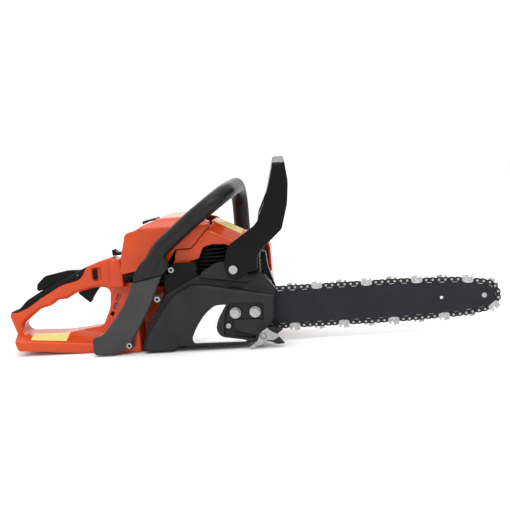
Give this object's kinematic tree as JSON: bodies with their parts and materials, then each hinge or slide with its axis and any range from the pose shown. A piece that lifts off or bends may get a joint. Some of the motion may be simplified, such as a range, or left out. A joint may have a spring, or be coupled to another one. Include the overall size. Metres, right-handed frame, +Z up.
{
  "type": "chainsaw",
  "caption": "Petrol chainsaw with a guide bar and chain, wrap-round front handle, rear handle with throttle, hinged hand guard and recoil starter.",
  "frame": {"origin": "on the base plane the saw stands on, straight below the crankshaft axis, in the middle plane of the cylinder", "axes": "+X forward along the guide bar, +Y to the operator's left, +Z up"},
  "size_m": [0.7863, 0.2145, 0.287],
  "materials": {
    "orange_plastic": "gloss moulded plastic",
    "black_plastic": "satin moulded plastic",
    "cover_plastic": "satin moulded plastic",
    "charcoal_plastic": "fine-grained moulded plastic",
    "soft_rubber": "matt soft rubber",
    "bar_paint": "satin black paint",
    "chain_steel": "bright steel",
    "chain_dark": "blued steel",
    "zinc": "zinc plated",
    "steel": "machined steel",
    "cast_alloy": "cast",
    "fin_alloy": "cast, dark",
    "heat_steel": "heat-proof paint",
    "ceramic": "glazed",
    "filter_felt": "felt",
    "cord": "braided"
  },
  "bodies": {
    "chassis": {"crankcase": "cast_alloy", "main_bearings": "steel", "cylinder": "fin_alloy", "spark_plug": "ceramic", "spark_plug_boot": "soft_rubber", "ignition_coil": "black_plastic", "clutch_drum": "steel", "drum_bearing": "steel", "brake_band": "steel", "oil_pump": "cast_alloy", "carburettor": "cast_alloy", "air_filter": "filter_felt", "muffler": "heat_steel", "muffler_guard": "heat_steel", "rear_handle": "orange_plastic", "rear_grip_rubber": "soft_rubber", "trigger_pins": "steel", "front_handle": "charcoal_plastic", "handle_side_bracket": "charcoal_plastic", "vibration_mounts": "soft_rubber", "screws": "zinc", "clutch_cover": "cover_plastic", "bar_studs": "zinc", "bar_nuts": "zinc", "cylinder_cover": "orange_plastic", "starter_housing": "orange_plastic", "rewind_spring": "steel", "starter_rope": "cord", "guard_pivot_bolt": "zinc", "bumper_spikes": "chain_dark", "chain_catcher": "cast_alloy", "chain_cutters": "chain_steel", "chain_tie_straps": "chain_dark", "chain_drive_links": "chain_dark", "chain_rivets": "zinc"},
    "guide_bar": {"guide_bar": "bar_paint", "nose_sprocket": "steel", "bar_rivets": "steel", "tension_block": "steel"},
    "tension_screw": {"tension_screw": "zinc"},
    "tension_rod": {"tension_rod": "steel"},
    "hand_guard": {"hand_guard": "black_plastic"},
    "throttle_trigger": {"throttle_trigger": "black_plastic"},
    "throttle_lockout": {"throttle_lockout": "black_plastic"},
    "choke_knob": {"choke_knob": "black_plastic"},
    "stop_switch": {"stop_switch": "black_plastic"},
    "fuel_cap": {"fuel_cap": "black_plastic"},
    "oil_cap": {"oil_cap": "black_plastic"},
    "filter_cover": {"filter_cover": "orange_plastic"},
    "cover_latch": {"cover_latch": "black_plastic"},
    "crankshaft": {"crankshaft": "steel", "flywheel": "cast_alloy", "clutch_hub": "steel", "clutch_shoes": "steel", "clutch_springs": "steel"},
    "piston": {"piston": "cast_alloy", "rod_pins": "steel", "connecting_rod": "steel"},
    "starter_pulley": {"starter_pulley": "black_plastic"},
    "starter_grip": {"starter_grip": "black_plastic"}
  },
  "joints": [
    {"name": "hand_guard_pivot", "type": "hinge", "parent": "chassis", "child": "hand_guard", "pos_m": [0.054, -0.084, 0.124], "axis": [0, 1, 0], "range_deg": [0, 18]},
    {"name": "trigger_pivot", "type": "hinge", "parent": "chassis", "child": "throttle_trigger", "pos_m": [-0.181, 0, 0.108], "axis": [0, 1, 0], "range_deg": [0, 18], "stiffness_Nm_per_rad": 0.15, "springref_deg": -17.19},
    {"name": "lockout_pivot", "type": "hinge", "parent": "chassis", "child": "throttle_lockout", "pos_m": [-0.212, 0, 0.121], "axis": [0, -1, 0], "range_deg": [0, 7], "stiffness_Nm_per_rad": 0.2, "springref_deg": -17.19},
    {"name": "choke_pull", "type": "slide", "parent": "chassis", "child": "choke_knob", "axis": [-1, 0, 0], "range_m": [0, 0.015]},
    {"name": "stop_switch_slide", "type": "slide", "parent": "chassis", "child": "stop_switch", "axis": [1, 0, 0], "range_m": [0, 0.005]},
    {"name": "fuel_cap_turn", "type": "hinge", "parent": "chassis", "child": "fuel_cap", "pos_m": [-0.118, 0.086, 0.058], "axis": [0, 1, 0], "range_deg": [0, 540]},
    {"name": "oil_cap_turn", "type": "hinge", "parent": "chassis", "child": "oil_cap", "pos_m": [0.094, 0.018, 0.042], "axis": [1, 0, 0], "range_deg": [0, 540]},
    {"name": "filter_cover_lift", "type": "slide", "parent": "chassis", "child": "filter_cover", "axis": [0, 0, 1], "range_m": [0, 0.06]},
    {"name": "cover_latch_pivot", "type": "hinge", "parent": "filter_cover", "child": "cover_latch", "pos_m": [-0.0758, 0, 0.2024], "axis": [0, 1, 0], "range_deg": [0, 60]},
    {"name": "crank_spin", "type": "hinge", "parent": "chassis", "child": "crankshaft", "pos_m": [0, 0, 0.055], "axis": [0, 1, 0], "continuous": true},
    {"name": "piston_stroke", "type": "slide", "parent": "chassis", "child": "piston", "axis": [0, 0, 1], "range_m": [-0.032, 0]},
    {"name": "starter_pull", "type": "slide", "parent": "chassis", "child": "starter_grip", "axis": [0, 0, 1], "range_m": [0, 0.6], "stiffness_N_per_m": 20, "springref_m": -0.1, "deforming": ["starter_rope"]},
    {"name": "starter_pulley_spin", "type": "hinge", "parent": "chassis", "child": "starter_pulley", "pos_m": [0, 0.0745, 0.055], "axis": [0, 1, 0], "range_deg": [0, 1120]},
    {"name": "bar_tension", "type": "slide", "parent": "chassis", "child": "guide_bar", "axis": [1, 0, 0], "range_m": [-0.002, 0]},
    {"name": "tension_screw_turn", "type": "hinge", "parent": "chassis", "child": "tension_screw", "pos_m": [0.038, -0.07, 0.036], "axis": [0, 1, 0], "range_deg": [-910, 0]},
    {"name": "tension_rod_turn", "type": "hinge", "parent": "chassis", "child": "tension_rod", "pos_m": [0.06, -0.056, 0.036], "axis": [1, 0, 0], "range_deg": [-910, 0]}
  ],
  "couplings": [
    {"joint": "starter_pulley_spin", "follows": "starter_pull", "rad_per_m": 32.47},
    {"joint": "tension_screw_turn", "follows": "bar_tension", "rad_per_m": 7854},
    {"joint": "tension_rod_turn", "follows": "bar_tension", "rad_per_m": 7854}
  ]
}
